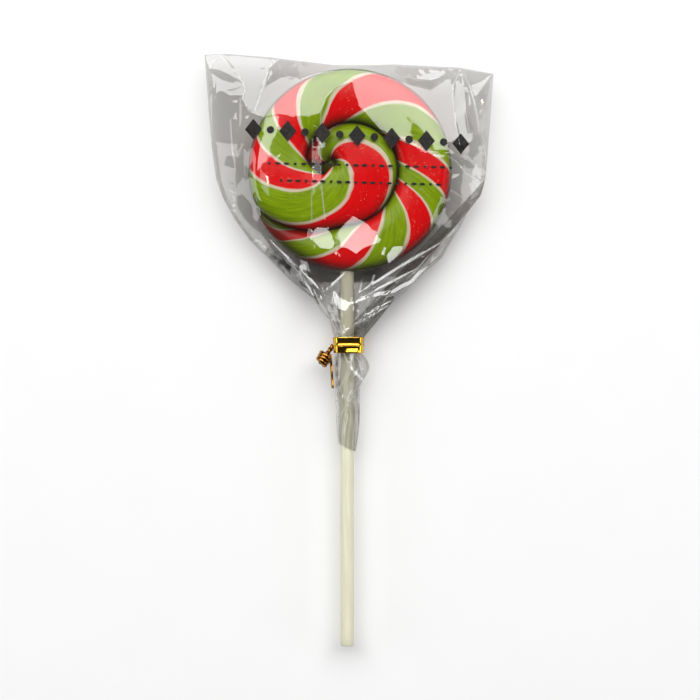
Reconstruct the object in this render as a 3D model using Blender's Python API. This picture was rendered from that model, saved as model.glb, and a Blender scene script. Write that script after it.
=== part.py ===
"""A swirl lollipop in a clear gift bag, tied at the neck and lying on its back.

Metres, +Z up. The origin is on the surface that it rests on, under the middle of the candy head.
The stick points along -Y and the side shown faces +Z.
"""

import math

import bmesh
import bpy
from mathutils import Matrix, Vector

MM = 0.001
UP = Vector((0.0, 0.0, 1.0))

# Candy head: a rope laid in a spiral and pressed
HEAD_RADIUS = 36.0 * MM
FRONT_HEIGHT = 7.6 * MM
BACK_HEIGHT = 6.6 * MM
PRESS_SHARPNESS = 4.0
ROPE_OVERLAP = 0.7 * MM
HEART = Vector((-6.0 * MM, 2.6 * MM, 0.0))
COIL_START_DEG = -158.0
COIL_END_DEG = 540.0
# Outer side of the rope where it winds inwards: angle in degrees and distance from the head's centre
WINDING = (
    (188.0, 36.0 * MM), (198.0, 35.8 * MM), (206.0, 34.6 * MM), (214.0, 32.4 * MM), (234.0, 26.8 * MM),
    (256.0, 21.6 * MM), (272.0, 19.7 * MM), (313.0, 18.0 * MM), (341.0, 17.3 * MM), (478.0, 16.9 * MM),
    (518.0, 16.6 * MM), (530.0, 15.4 * MM), (546.0, 10.6 * MM),
)
# Inner side of the rope beyond that: angle and distance from a pole that moves to the heart
FOLDING = (
    (186.0, 10.4 * MM), (200.0, 7.2 * MM), (215.0, 4.5 * MM), (240.0, 1.6 * MM), (265.0, 0.9 * MM),
    (540.0, 0.8 * MM),
)
POLE_FROM_DEG = 175.0
POLE_TO_DEG = 240.0
SECTION_STEP_DEG = 4.65
SECTION_SIDES = 24
TIP_SECTIONS = 4
CORE = Vector((-7.2 * MM, 1.9 * MM, 0.0))
CORE_RADIUS = 3.4 * MM
CORE_HALF_HEIGHT = 2.0 * MM
CORE_SIDES = 16
SHARP_ANGLE_DEG = 35.0

# Stick: rolled paper, pushed up into the head
STICK_RADIUS = 2.4 * MM
STICK_LENGTH = 165.0 * MM
STICK_TIP_Y = -3.0 * MM
STICK_X = -1.0 * MM
STICK_SIDES = 24
STICK_END_BEVEL = 0.4 * MM
BORE_RUN_OUT = 5.0 * MM

# Bag: film that is taut over the head and flat at its seams
CLEARANCE = 0.3 * MM
HEAD_ROOM = 0.6 * MM
FILM = 0.5 * MM
SEAM_THICKNESS = 0.8 * MM
MIDDLE_Z = FILM + HEAD_ROOM + BACK_HEIGHT
REST_RADIUS = 24.0 * MM
REST_STEPS = 36
ENVELOPE_STRIDE = 2
ENVELOPE_SIDES = 20
# Outline of the bag above the neck, clockwise from the left of the neck
OUTLINE = (
    (-5.9, -58.0), (-7.1, -53.0), (-9.9, -50.1), (-13.1, -45.2), (-21.2, -38.8), (-28.2, -31.8),
    (-34.9, -25.4), (-40.6, -17.7), (-45.2, -9.2), (-47.4, -3.0), (-48.9, 8.0), (-51.5, 40.9),
    (-44.1, 41.3), (-28.2, 40.0), (-14.1, 38.3), (-6.0, 37.3), (7.0, 37.3), (16.0, 37.5), (38.8, 36.4),
    (50.8, 34.2), (48.8, 7.0), (48.0, -2.8), (46.3, -8.8), (41.7, -14.8), (39.2, -19.8), (36.0, -25.1),
    (32.8, -30.7), (26.5, -36.0), (17.7, -44.5), (12.4, -49.4), (7.8, -53.0), (5.3, -58.0),
)
# Film ridges that stand above the seams: x, y and height over the middle
RIDGES = (
    (-34.4, 18.2, 4.4), (-44.0, 30.0, 1.6), (-41.0, -8.0, 2.6), (38.0, 26.0, 2.8), (41.5, 2.0, 4.0),
    (34.0, -24.0, 3.4), (-26.0, -30.0, 3.6), (22.0, -38.0, 3.8),
)

# Neck and skirt: the film gathered round the stick
NECK_Y = -59.0 * MM
NECK_END_Y = -64.6 * MM
NECK_HALF_WIDTH = 4.7 * MM
NECK_HALF_DEPTH = 4.3 * MM
NECK_X = -0.5 * MM
NECK_ROOT = 1.5 * MM
ROOM_FROM_Y = -28.0 * MM
PLEATS = 9
PLEAT_DEPTH = 0.10
GATHER_SIDES = 54
# Rings of the skirt below the tie: y, left edge, right edge, half depth
SKIRT = (
    (-64.6, -5.2, 4.2, 4.3), (-66.4, -5.5, 6.2, 4.4), (-69.0, -5.5, 7.1, 4.5), (-72.0, -5.4, 6.4, 4.4),
    (-75.9, -5.4, 3.9, 4.2), (-82.0, -5.2, 3.7, 4.0), (-88.5, -5.0, 3.5, 3.8), (-94.0, -4.6, 2.9, 3.5),
    (-98.0, -4.2, 2.2, 3.3),
)

# Twist tie: a gold ribbon wound twice round the neck, its ends twisted together
TIE_THICKNESS = 0.45 * MM
TIE_CROWN = 0.25 * MM
TIE_WRAPS = 2
TIE_BAND = 2.7 * MM
TIE_GAP = 0.2 * MM
TIE_SIDES = 40
STEM_FROM = Vector((-6.1, -62.0, 0.6)) * MM
STEM_TO = Vector((-10.6, -67.8, 2.0)) * MM
STEM_RADIUS = 0.85 * MM
STEM_TURNS = 2.5
STEM_LUMP = 0.16
STEM_STEPS = 24
STEM_SIDES = 10
CURL_FROM = 0.56
CURL_TO = 0.97
CURL_STEPS = 40
CURL_CORE = 1.4 * MM
CURL_RADIUS = 2.0 * MM
CURL_TURNS = 2.25
CURL_TAPER = 0.2
RIBBON_RADIUS = 0.62 * MM
RIBBON_SIDES = 8
TAIL_TOP = Vector((-7.6, -65.2, 0.8)) * MM
TAIL_BOTTOM = Vector((-6.2, -77.0, 0.8)) * MM
TAIL_SIZE = Vector((0.7, 1.0, 2.6)) * MM


def clear_scene():
    for obj in list(bpy.data.objects):
        bpy.data.objects.remove(obj)


def material(name, colour, roughness, metallic=0.0, alpha=1.0):
    made = bpy.data.materials.new(name)
    made.use_nodes = True
    shader = made.node_tree.nodes["Principled BSDF"]
    shader.inputs["Base Color"].default_value = (*colour, 1.0)
    shader.inputs["Roughness"].default_value = roughness
    shader.inputs["Metallic"].default_value = metallic
    shader.inputs["Alpha"].default_value = alpha
    return made


def add_object(name, mesh, look):
    mesh.materials.clear()
    mesh.materials.append(look)
    mesh.shade_smooth()
    mesh.set_sharp_from_angle(angle=math.radians(SHARP_ANGLE_DEG))
    obj = bpy.data.objects.new(name, mesh)
    bpy.context.scene.collection.objects.link(obj)
    return obj


def mesh_from(name, work):
    bmesh.ops.recalc_face_normals(work, faces=work.faces)
    mesh = bpy.data.meshes.new(name)
    work.to_mesh(mesh)
    work.free()
    return mesh


def eased(share):
    """0 to 1 with a level start and end."""
    share = max(0.0, min(1.0, share))
    return share * share * (3.0 - 2.0 * share)


def between(rows, at):
    """The columns after the first, read from a smooth curve through the rows at a value of the first."""
    at = max(rows[0][0], min(rows[-1][0], at))
    last = len(rows) - 1
    i = max(k for k in range(last) if rows[k][0] <= at)
    span = rows[i + 1][0] - rows[i][0]
    share = (at - rows[i][0]) / span

    def slope(k, column):
        low, high = max(k - 1, 0), min(k + 1, last)
        return (rows[high][column] - rows[low][column]) / (rows[high][0] - rows[low][0])

    values = []
    for column in range(1, len(rows[0])):
        start, end = rows[i][column], rows[i + 1][column]
        values.append(
            start * (1 + 2 * share) * (1 - share) ** 2
            + end * (3 - 2 * share) * share**2
            + slope(i, column) * span * share * (1 - share) ** 2
            - slope(i + 1, column) * span * (1 - share) * share**2
        )
    return values


def facing(angle):
    turn = math.radians(angle)
    return Vector((math.cos(turn), math.sin(turn), 0.0))


def outer_side(angle):
    """Distance of the rope's outer side from the head's centre."""
    return between(WINDING, angle)[0]


def rope_sections():
    """Middle, half width and direction across the rope, from its outer tail to its end at the heart."""
    count = round((COIL_END_DEG - COIL_START_DEG) / SECTION_STEP_DEG)
    sections = []
    for i in range(count + 1):
        angle = COIL_START_DEG + (COIL_END_DEG - COIL_START_DEG) * i / count
        across = facing(angle)
        outer = outer_side(angle) * across
        if angle < FOLDING[0][0]:
            reach = outer_side(angle + 360.0) - ROPE_OVERLAP
        else:
            reach = between(FOLDING, angle)[0]
        pole = HEART * eased((angle - POLE_FROM_DEG) / (POLE_TO_DEG - POLE_FROM_DEG))
        inner = pole + reach * across
        tip = min(1.0, (count - i + 0.3) / TIP_SECTIONS)
        half = (outer - inner).length / 2 * math.sqrt(1.0 - (1.0 - tip) ** 2)
        sections.append(((outer + inner) / 2, half, (outer - inner).normalized()))
    return sections


def section_ring(section, sides, extra=0.0):
    """Points round one section of the pressed rope, a distance outside it."""
    middle, half, across = section
    points = []
    for i in range(sides):
        turn = 2 * math.pi * i / sides
        point = middle + across * (half + extra) * math.cos(turn)
        point.z = MIDDLE_Z + pressed(half * math.sin(turn)) + extra * math.sin(turn)
        points.append(point)
    return points


def pressed(height):
    """A height above or below the middle, as the press leaves it."""
    limit = FRONT_HEIGHT if height > 0 else BACK_HEIGHT
    squeezed = abs(height) / (1.0 + (abs(height) / limit) ** PRESS_SHARPNESS) ** (1 / PRESS_SHARPNESS)
    return math.copysign(squeezed, height)


def tube(name, points, radii, sides):
    """A closed round tube along points."""
    rings = []
    last = len(points) - 1
    side = None
    for i, point in enumerate(points):
        along = (points[min(i + 1, last)] - points[max(i - 1, 0)]).normalized()
        if side is None:
            side = along.orthogonal()
        side = (side - along * side.dot(along)).normalized()
        up = along.cross(side)
        turns = [2 * math.pi * k / sides for k in range(sides)]
        rings.append([point + (side * math.cos(turn) + up * math.sin(turn)) * radii[i] for turn in turns])
    return gathered_mesh(name, rings)


def cutter(name, mesh):
    obj = bpy.data.objects.new(name, mesh)
    bpy.context.scene.collection.objects.link(obj)
    obj.hide_render = True
    obj.display_type = "WIRE"
    return obj


def boolean(obj, other, operation, use_self=False):
    made = obj.modifiers.new(operation.title(), "BOOLEAN")
    made.operation = operation
    made.object = other
    made.solver = "EXACT"
    made.use_self = use_self
    return made


def rod_mesh(name, radius, y_from, y_to, x, z, sides, bevel=0.0):
    """A round rod along Y."""
    work = bmesh.new()
    bmesh.ops.create_cone(
        work, cap_ends=True, segments=sides, radius1=radius, radius2=radius, depth=abs(y_to - y_from)
    )
    if bevel:
        rims = [edge for edge in work.edges if abs(edge.verts[0].co.z - edge.verts[1].co.z) < bevel]
        bmesh.ops.bevel(work, geom=rims, offset=bevel, segments=2, profile=0.5, affect="EDGES", material=-1)
    place = Matrix.Translation((x, (y_from + y_to) / 2, z)) @ Matrix.Rotation(math.radians(90.0), 4, "X")
    bmesh.ops.transform(work, matrix=place, verts=work.verts)
    return mesh_from(name, work)


def stick_room_mesh(name, y_from, y_to):
    """The space that the stick needs."""
    return rod_mesh(name, STICK_RADIUS + CLEARANCE, y_from, y_to, STICK_X, MIDDLE_Z, STICK_SIDES)


def make_head(look):
    rings = [section_ring(section, SECTION_SIDES) for section in rope_sections()]
    head = add_object("candy_head", gathered_mesh("head_coil", rings), look)
    core = rod_mesh("head_core", CORE_RADIUS, -CORE_HALF_HEIGHT, CORE_HALF_HEIGHT, 0.0, 0.0, CORE_SIDES)
    upright = Matrix.Rotation(math.radians(90.0), 4, "X")
    core.transform(Matrix.Translation(CORE + UP * MIDDLE_Z) @ upright)
    boolean(head, cutter("head_core", core), "UNION", use_self=True)
    bore = stick_room_mesh("stick_bore", -HEAD_RADIUS - BORE_RUN_OUT, STICK_TIP_Y + CLEARANCE)
    boolean(head, cutter("stick_bore", bore), "DIFFERENCE")
    return head


def make_stick(look):
    mesh = rod_mesh(
        "stick", STICK_RADIUS, STICK_TIP_Y, STICK_TIP_Y - STICK_LENGTH, STICK_X, MIDDLE_Z, STICK_SIDES,
        STICK_END_BEVEL,
    )
    return add_object("stick", mesh, look)


def envelope_points(extra):
    """Points a distance outside the rope, for the film drawn over it."""
    points = []
    for section in rope_sections()[::ENVELOPE_STRIDE]:
        points += section_ring(section, ENVELOPE_SIDES, extra)
    return points


def hull_mesh(name, points):
    work = bmesh.new()
    for point in points:
        work.verts.new(point)
    made = bmesh.ops.convex_hull(work, input=work.verts)
    inside = [item for item in made["geom_interior"] if isinstance(item, bmesh.types.BMVert)]
    bmesh.ops.delete(work, geom=inside, context="VERTS")
    return mesh_from(name, work)


def ring(y, left, right, depth):
    """Points round one gathered section of the film, in small pleats."""
    middle, half = (left + right) / 2, (right - left) / 2
    points = []
    for i in range(GATHER_SIDES):
        turn = 2 * math.pi * i / GATHER_SIDES
        pleat = 1.0 - PLEAT_DEPTH * (0.5 - 0.5 * math.cos(PLEATS * turn))
        points.append(
            Vector((middle + half * pleat * math.cos(turn), y, MIDDLE_Z + depth * pleat * math.sin(turn)))
        )
    return points


def gathered_mesh(name, rings):
    """A closed body through rings of points."""
    work = bmesh.new()
    loops = []
    for points in rings:
        corners = [work.verts.new(point) for point in points]
        loops.append([work.edges.new((a, b)) for a, b in zip(corners, corners[1:] + corners[:1])])
    for first, second in zip(loops, loops[1:]):
        bmesh.ops.bridge_loops(work, edges=first + second)
    bmesh.ops.holes_fill(work, edges=loops[0] + loops[-1], sides=0)
    return mesh_from(name, work)


def seam_points():
    """Both faces of the seams at the outline, and the ridges of the film."""
    points = []
    for x, y in OUTLINE:
        for side in (-0.5, 0.5):
            points.append(Vector((x * MM, y * MM, MIDDLE_Z + side * SEAM_THICKNESS)))
    for x, y, height in RIDGES:
        for side in (-height, height):
            points.append(Vector((x * MM, y * MM, MIDDLE_Z + side * MM)))
    return points


def outline_mesh(name):
    """An upright prism on the bag's outline."""
    work = bmesh.new()
    corners = [work.verts.new((x * MM, y * MM, -HEAD_RADIUS)) for x, y in OUTLINE]
    for x in (NECK_X + NECK_HALF_WIDTH, NECK_X - NECK_HALF_WIDTH):
        corners.append(work.verts.new((x, NECK_Y - NECK_ROOT, -HEAD_RADIUS)))
    floor = work.faces.new(corners)
    raised = bmesh.ops.extrude_face_region(work, geom=[floor])["geom"]
    top = [item for item in raised if isinstance(item, bmesh.types.BMVert)]
    bmesh.ops.translate(work, vec=(0.0, 0.0, 2 * HEAD_RADIUS), verts=top)
    return mesh_from(name, work)


def make_bag(look):
    neck = ring(NECK_Y, NECK_X - NECK_HALF_WIDTH, NECK_X + NECK_HALF_WIDTH, NECK_HALF_DEPTH)
    rest = [facing(360.0 * i / REST_STEPS) * REST_RADIUS for i in range(REST_STEPS)]
    body = hull_mesh("bag", envelope_points(HEAD_ROOM + FILM) + seam_points() + rest + neck)
    bag = add_object("bag", body, look)
    boolean(bag, cutter("outline", outline_mesh("outline")), "INTERSECT")
    gathers = [
        ring(y, NECK_X - NECK_HALF_WIDTH, NECK_X + NECK_HALF_WIDTH, NECK_HALF_DEPTH)
        for y in (NECK_Y + NECK_ROOT, NECK_END_Y)
    ]
    gathers += [ring(y * MM, left * MM, right * MM, depth * MM) for y, left, right, depth in SKIRT[1:]]
    boolean(bag, cutter("skirt", gathered_mesh("skirt", gathers)), "UNION")
    hollow = cutter("head_room", hull_mesh("head_room", envelope_points(HEAD_ROOM)))
    boolean(bag, hollow, "DIFFERENCE")
    bore = stick_room_mesh("stick_room", SKIRT[-1][0] * MM - BORE_RUN_OUT, ROOM_FROM_Y)
    boolean(bag, cutter("stick_room", bore), "DIFFERENCE")
    return bag


def band_mesh(name):
    """The tie's wraps as one ring with a crowned band for each."""
    inner_width, inner_depth = NECK_HALF_WIDTH + CLEARANCE, NECK_HALF_DEPTH + CLEARANCE
    profile = [(NECK_Y, 0.0), (NECK_Y, TIE_THICKNESS)]
    for wrap in range(TIE_WRAPS):
        top = NECK_Y - wrap * (TIE_BAND + TIE_GAP)
        profile.append((top - TIE_BAND * 0.5, TIE_THICKNESS + TIE_CROWN))
        profile.append((top - TIE_BAND, TIE_THICKNESS))
        if wrap < TIE_WRAPS - 1:
            profile.append((top - TIE_BAND - TIE_GAP * 0.5, TIE_THICKNESS - TIE_GAP))
            profile.append((top - TIE_BAND - TIE_GAP, TIE_THICKNESS))
    profile.append((profile[-1][0], 0.0))
    work = bmesh.new()
    rings = []
    for i in range(TIE_SIDES):
        turn = 2 * math.pi * i / TIE_SIDES
        corners = []
        for y, out in profile:
            x = NECK_X + (inner_width + out) * math.cos(turn)
            z = MIDDLE_Z + (inner_depth + out) * math.sin(turn)
            corners.append(work.verts.new((x, y, z)))
        rings.append(corners)
    for i, here in enumerate(rings):
        there = rings[(i + 1) % TIE_SIDES]
        for j in range(len(profile)):
            k = (j + 1) % len(profile)
            work.faces.new((here[j], here[k], there[k], there[j]))
    return mesh_from(name, work)


def stem_points():
    """The two ends twisted round each other read as one lumpy stem, thicker where they are rolled up."""
    points, radii = [], []
    for i in range(STEM_STEPS + 1):
        share = i / STEM_STEPS
        points.append(STEM_FROM.lerp(STEM_TO, share) + UP * MIDDLE_Z)
        lump = STEM_RADIUS * (1.0 + STEM_LUMP * math.cos(4 * math.pi * STEM_TURNS * share))
        radii.append(lump if share < CURL_FROM else CURL_CORE)
    return points, radii


def curl_points():
    """The ends rolled up round the end of the stem."""
    points = []
    along = (STEM_TO - STEM_FROM).normalized()
    side = along.cross(UP).normalized()
    up = side.cross(along)
    for i in range(CURL_STEPS + 1):
        share = i / CURL_STEPS
        turn = 2 * math.pi * CURL_TURNS * share
        middle = STEM_FROM.lerp(STEM_TO, CURL_FROM + (CURL_TO - CURL_FROM) * share) + UP * MIDDLE_Z
        wide = CURL_RADIUS * (1.0 - CURL_TAPER * share)
        points.append(middle + (side * math.cos(turn) + up * math.sin(turn)) * wide)
    return points


def box_between(name, start, end, size):
    """A flat strip from start to end."""
    work = bmesh.new()
    bmesh.ops.create_cube(work, size=1.0)
    run = end - start
    bmesh.ops.scale(work, vec=(size.x, run.length, size.z), verts=work.verts)
    turn = Vector((0.0, 1.0, 0.0)).rotation_difference(run.normalized()).to_matrix().to_4x4()
    middle = (start + end) / 2 + UP * MIDDLE_Z
    bmesh.ops.transform(work, matrix=Matrix.Translation(middle) @ turn, verts=work.verts)
    return mesh_from(name, work)


def make_tie(look):
    tie = add_object("twist_tie", band_mesh("twist_tie"), look)
    points, radii = stem_points()
    curl = curl_points()
    extras = (
        tube("tie_stem", points, radii, STEM_SIDES),
        box_between("tie_tail", TAIL_TOP, TAIL_BOTTOM, TAIL_SIZE),
        tube("tie_curl", curl, [RIBBON_RADIUS] * len(curl), RIBBON_SIDES),
    )
    for mesh in extras:
        boolean(tie, cutter(mesh.name, mesh), "UNION")
    return tie


def main():
    clear_scene()
    make_head(material("candy", (0.62, 0.02, 0.02), 0.18))
    make_stick(material("stick_paper", (0.80, 0.79, 0.68), 0.7))
    make_bag(material("film", (0.88, 0.89, 0.88), 0.05, alpha=0.25))
    make_tie(material("gold_ribbon", (0.80, 0.52, 0.12), 0.25, metallic=1.0))


main()
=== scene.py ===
"""A swirl lollipop in a clear gift bag, tied at the neck and lying on its back on a pale table."""

import math

import bmesh
import bpy
from mathutils import Matrix, Vector, noise
from mathutils.bvhtree import BVHTree
from mathutils.geometry import delaunay_2d_cdt


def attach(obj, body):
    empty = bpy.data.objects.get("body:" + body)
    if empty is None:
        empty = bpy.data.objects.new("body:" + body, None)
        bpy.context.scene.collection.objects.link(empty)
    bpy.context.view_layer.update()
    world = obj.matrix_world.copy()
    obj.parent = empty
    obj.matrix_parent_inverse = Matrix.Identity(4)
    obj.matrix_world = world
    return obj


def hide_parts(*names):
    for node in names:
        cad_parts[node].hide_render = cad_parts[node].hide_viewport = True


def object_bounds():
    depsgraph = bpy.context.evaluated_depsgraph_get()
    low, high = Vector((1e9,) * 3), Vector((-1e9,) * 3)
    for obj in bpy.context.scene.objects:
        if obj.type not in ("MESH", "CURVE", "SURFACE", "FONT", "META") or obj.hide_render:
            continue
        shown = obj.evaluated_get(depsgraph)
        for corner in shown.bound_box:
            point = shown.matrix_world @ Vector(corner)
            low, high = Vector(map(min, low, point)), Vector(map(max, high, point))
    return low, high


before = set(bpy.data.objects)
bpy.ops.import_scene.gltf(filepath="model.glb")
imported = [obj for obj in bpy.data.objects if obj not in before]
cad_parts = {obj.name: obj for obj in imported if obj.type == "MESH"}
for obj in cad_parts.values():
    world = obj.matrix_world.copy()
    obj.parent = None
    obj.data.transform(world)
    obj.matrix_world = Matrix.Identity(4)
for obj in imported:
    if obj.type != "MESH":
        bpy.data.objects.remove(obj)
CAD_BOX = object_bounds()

MM = 0.001
UP = Vector((0.0, 0.0, 1.0))

# Points were read off the reference photograph, in pixels from its top left corner
PIXEL = 0.353 * MM
HEAD_PIXEL = (350.0, 170.0)

# Candy head: a striped rope laid in a spiral and pressed
FRONT_HEIGHT = 7.6 * MM
BACK_HEIGHT = 6.6 * MM
MIDDLE_Z = 7.7 * MM
PRESS_SHARPNESS = 4.0
ROPE_OVERLAP = 0.7 * MM
HEART = Vector((-6.0, 2.6, 0.0)) * MM
COIL_START_DEG = -158.0
COIL_END_DEG = 540.0
# How far the rope's outer edge and, in the folded middle, its inner edge run from the centre at each angle
WINDING = (
    (188.0, 36.0 * MM), (198.0, 35.8 * MM), (206.0, 34.6 * MM), (214.0, 32.4 * MM), (234.0, 26.8 * MM),
    (256.0, 21.6 * MM), (272.0, 19.7 * MM), (313.0, 18.0 * MM), (341.0, 17.3 * MM), (478.0, 16.9 * MM),
    (518.0, 16.6 * MM), (530.0, 15.4 * MM), (546.0, 10.6 * MM),
)
FOLDING = (
    (186.0, 10.4 * MM), (200.0, 7.2 * MM), (215.0, 4.5 * MM), (240.0, 1.6 * MM), (265.0, 0.9 * MM),
    (540.0, 0.8 * MM),
)
POLE_FROM_DEG = 175.0
POLE_TO_DEG = 240.0
TIP_DEG = 18.6
ROPE_SECTIONS = 360
ROPE_SIDES = 48
CORE = Vector((-7.2, 1.9, 0.0)) * MM
CORE_RADIUS = 3.4 * MM
CORE_HALF_HEIGHT = 2.0 * MM
# Where each cream line crosses the crest of the rope: angle in degrees and number of the line
STRIPE_CROSSINGS = (
    (-158.0, 0.2), (-140.5, 1.0), (-127.4, 2.0), (-98.9, 3.0), (-70.7, 4.0), (-40.8, 5.0), (-22.0, 6.0),
    (-6.0, 7.0), (16.5, 8.0), (62.0, 9.0), (102.4, 10.0), (134.5, 11.0), (153.0, 12.0), (174.6, 13.0),
    (203.0, 14.0), (287.0, 15.0), (433.5, 16.0), (514.0, 17.0), (540.0, 17.6),
)

# Stick: rolled paper
STICK_RADIUS = 2.4 * MM
STICK_X = -1.0 * MM
STICK_TOP_Y = -3.0 * MM
STICK_END_Y = -168.0 * MM

# Bag
NECK_Y = -59.0 * MM
NECK_X = -0.5 * MM
NECK_HALF_WIDTH = 4.7 * MM
NECK_HALF_DEPTH = 4.3 * MM
NECK_SEAM_Y = NECK_Y - 0.9 * MM
GATHER_CENTRE = Vector((NECK_X, NECK_Y - 5 * MM))
GATHER_REACH = 50.0 * MM
FRONT_PLEATS = 0.45
BACK_PLEATS = 0.6
CANDY_ROOM = 0.15 * MM
# Longest edges of the film: on the front, on the back, along creases and near the neck
SHEET_STEP = 1.6 * MM
BACK_STEP = SHEET_STEP * 1.6
FOLD_STEP = 0.62 * MM
GATHER_STEP = 0.8 * MM
DRAWING_ROUNDS = 8
RIM_TOLERANCE = 0.002 * MM
FILM_VALUES = ("layers", "gathered", "whitened_and_highlight", "pinched")
# Layers of film that the light passes, and how much of the front's gloss the back has at the neck
FRONT_LAYERS = 1.05
BACK_LAYERS = 1.8
BACK_GLOSS = 0.1
OUTLINE = (
    (-5.9, -58.0), (-7.1, -53.0), (-9.9, -50.1), (-13.1, -45.2), (-21.2, -38.8), (-28.2, -31.8),
    (-34.9, -25.4), (-40.6, -17.7), (-45.2, -9.2), (-47.4, -3.0), (-48.9, 8.0), (-51.5, 40.9),
    (-44.1, 41.3), (-28.2, 40.0), (-14.1, 38.3), (-6.0, 37.3), (7.0, 37.3), (16.0, 37.5), (38.8, 36.4),
    (50.8, 34.2), (48.8, 7.0), (48.0, -2.8), (46.3, -8.8), (41.7, -14.8), (39.2, -19.8), (36.0, -25.1),
    (32.8, -30.7), (26.5, -36.0), (17.7, -44.5), (12.4, -49.4), (7.8, -53.0), (5.3, -58.0),
)
# Where the back sheet rises from the table to the seams, in mm
BACK_RISE = (
    (-1.0, -45.0, 2.2), (-20.0, -36.0, 3.0), (18.0, -38.0, 3.0), (-41.0, 25.0, 4.6), (41.0, 22.0, 4.4),
)
# Creases of the front sheet: how sharply each is pinched, and its points in pixels with the
# film's height over the middle, in mm
CREASES = {
    "left_corner": (0.08, (222, 54.5, 0.1), (212, 62, 0.55), (211, 69, 0.9)),
    "left_fold": (0.08, (222, 54.5, 0.1), (233, 69, 1.6), (244, 84, 3.0), (246, 89, 3.7), (243, 99, 4.4),
                  (248, 110, 4.8), (256, 115.5, 5.6), (264, 118, 6.3)),
    "left_sliver": (0.0, (211, 69, 0.9), (221, 69.5, 1.3), (233, 76, 2.1), (244, 84, 3.0)),
    "left_sliver_low": (0.0, (211, 73, 0.6), (221, 79.5, 0.9), (230, 82.5, 1.6), (244, 84, 3.0)),
    "left_dart": (0.0, (211, 73, 0.6), (222, 91, 2.0), (231, 88.5, 2.2), (244, 84, 3.0)),
    "left_dart_low": (0.0, (222, 91, 2.0), (233, 93, 3.0), (246, 89, 3.7)),
    "left_curve": (0.05, (275, 59.5, 0.3), (268, 70, 1.5), (263, 88, 3.8), (257, 108, 5.3), (254, 114, 5.4)),
    "top_facet": (0.0, (278, 59.5, 0.4), (282, 70, 3.4), (290, 79, 5.9), (300, 81, 6.5), (301, 61.5, 0.4)),
    "crown": (0.0, (300, 81, 6.5), (315, 76, 6.4), (330, 73, 6.2), (346, 71.5, 6.2), (365, 73, 6.3),
              (385, 78, 6.3), (403, 85, 6.3), (412, 88, 6.2)),
    "petal_left": (0.0, (353, 83, 7.6), (337, 88, 7.6), (326, 100, 7.62), (321, 116, 7.66), (321, 133, 7.68)),
    "petal_right": (0.0, (353, 83, 7.6), (355, 93, 7.62), (359, 108, 7.66), (357, 122, 7.7), (340, 133, 7.7)),
    "shoulder_left": (0.0, (264, 118, 6.3), (280, 115, 7.1), (298, 117, 7.35), (321, 133, 7.68)),
    "shoulder_right": (0.03, (359, 108, 7.66), (366, 116, 7.7), (380, 132, 7.7), (400, 140, 7.55),
                       (425, 155, 7.2), (452, 156, 6.1)),
    "band_left": (0.0, (313, 141, 7.6), (313, 180, 7.58), (312, 200, 7.45), (312, 222, 7.1)),
    "band_right": (0.04, (321, 133, 7.9), (321, 150, 7.98), (321, 180, 7.98), (323, 200, 7.7),
                   (325, 220, 7.3)),
    "low_patch": (0.0, (341, 249.5, 7.75), (339, 238, 7.4), (346, 224, 6.9), (353, 216, 6.6), (366, 224, 6.8),
                  (374, 236, 7.2), (378, 244, 7.45), (365, 248, 7.7), (356, 256, 7.95), (349, 250.5, 7.8),
                  (341, 249.5, 7.75)),
    "low_left_patch": (0.0, (314, 243, 7.6), (321, 250, 7.95), (331, 251, 7.95), (330, 240, 7.4),
                       (326, 228, 6.9), (318, 228, 6.9), (314, 243, 7.6)),
    "low_right_patch": (0.0, (388.5, 265, 7.5), (389, 253, 7.0), (393, 247, 6.75), (402, 246, 6.6),
                        (401, 253, 6.85), (394, 261, 7.2), (388.5, 265, 7.5)),
    "right_fold": (0.08, (462, 68.5, 0.5), (468, 85, 4.6), (474, 105, 5.9), (479, 130, 6.1), (484, 155, 4.0),
                   (486, 172, 0.6)),
    "right_lens": (0.03, (460, 71, 0.8), (453, 85, 4.2), (452, 100, 5.0), (455, 125, 5.7), (459, 146, 6.0)),
    "right_band": (0.0, (462, 76, 1.7), (463, 90, 3.8), (465, 110, 4.4), (469, 135, 4.6)),
    "right_flap": (0.0, (403, 66, 0.6), (412, 88, 6.2), (430, 92, 5.6), (447, 80, 3.6), (452, 70, 0.8)),
    "gash": (0.25, (262, 246, 2.0), (285, 260, 3.2), (302, 274, 4.4)),
    "knot_patch": (0.0, (334.5, 290, 6.1), (341, 299, 6.6), (350, 305, 6.95)),
    "knot_patch_low": (0.1, (334.5, 290, 6.1), (333, 303, 6.8), (338, 309.5, 7.15), (346, 312, 7.2),
                       (350, 305, 6.95)),
    "right_tuck": (0.1, (448, 158, 6.1), (456, 163, 5.3), (463, 172, 4.2), (472, 178, 3.2), (485, 182, 0.2)),
    "right_tuck_low": (0.1, (453, 192, 4.4), (462, 198, 3.3), (470, 203, 1.9)),
    "left_panel": (0.0, (222, 91, 1.9), (228, 100, 2.45), (229, 120, 2.3), (231, 150, 2.1), (235, 180, 2.0)),
    "left_panel_inner": (0.0, (243, 99, 4.3), (242, 125, 4.0), (243, 150, 3.65), (244.5, 176, 3.3)),
    "left_shelf": (0.0, (264, 118, 6.3), (263, 135, 6.3), (262, 155, 6.3)),
    "left_shelf_inner": (0.0, (280, 115, 7.1), (279, 135, 7.15), (279, 156, 7.15)),
    "right_tuck_inner": (0.1, (452, 180, 4.9), (463, 172, 4.2), (470, 190, 3.0), (479, 193, 0.8)),
    "flap_middle": (0.0, (404, 77, 3.2), (418, 80, 3.4), (430, 80, 3.0), (441, 76, 2.0)),
    "low_gap": (0.0, (335.5, 229, 7.15), (336, 241, 7.15), (336, 253, 7.25)),
    "left_tuck": (0.12, (222, 191, 0.2), (230, 192, 1.2), (236, 196, 1.8)),
}
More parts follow.
